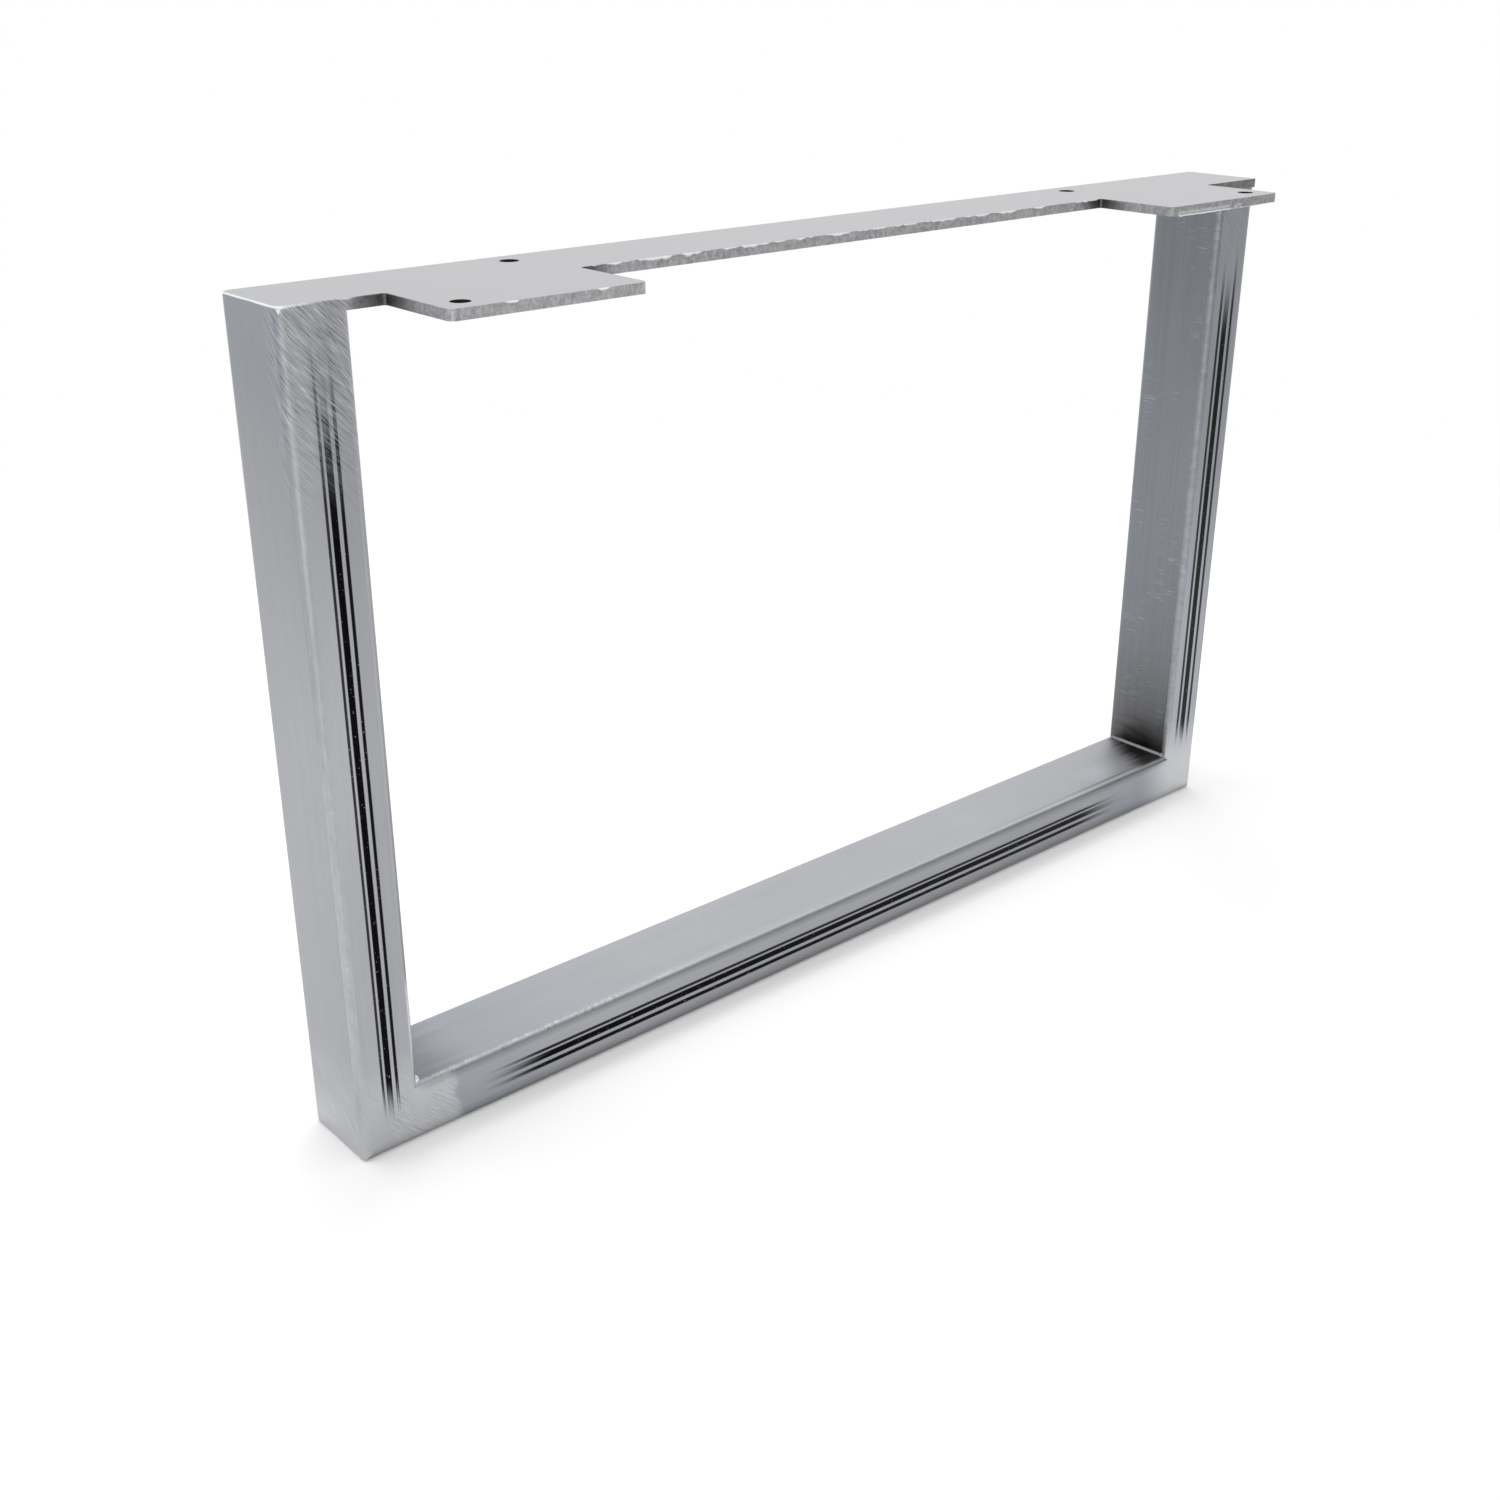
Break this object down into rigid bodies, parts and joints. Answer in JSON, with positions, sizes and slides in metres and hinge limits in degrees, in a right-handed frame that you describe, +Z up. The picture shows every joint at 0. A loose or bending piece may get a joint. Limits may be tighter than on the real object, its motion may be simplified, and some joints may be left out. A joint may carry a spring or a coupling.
{
  "type": "steel furniture leg",
  "caption": "U-shaped welded frame leg of mitred rectangular steel tube, with a flat top plate whose drilled tabs screw up into a table or bench top.",
  "frame": {"origin": "centre of the bottom bar's underside, on the floor", "axes": "+X along the width of the leg, -Y towards the screw tabs, +Z up to the top plate"},
  "size_m": [0.8, 0.12, 0.5],
  "materials": {
    "plate_steel": "raw cut plate, pale and matt, with rough grey edges",
    "tube_steel": "raw mill finish with lengthwise drawing lines and a heat-darkened seam, ground bare at the welded corners",
    "weld_metal": "bare weld bead"
  },
  "bodies": {
    "root": {"top_plate": "plate_steel", "left_upright": "tube_steel", "right_upright": "tube_steel", "bottom_bar": "tube_steel", "left_corner_weld": "weld_metal", "right_corner_weld": "weld_metal"}
  },
  "joints": []
}
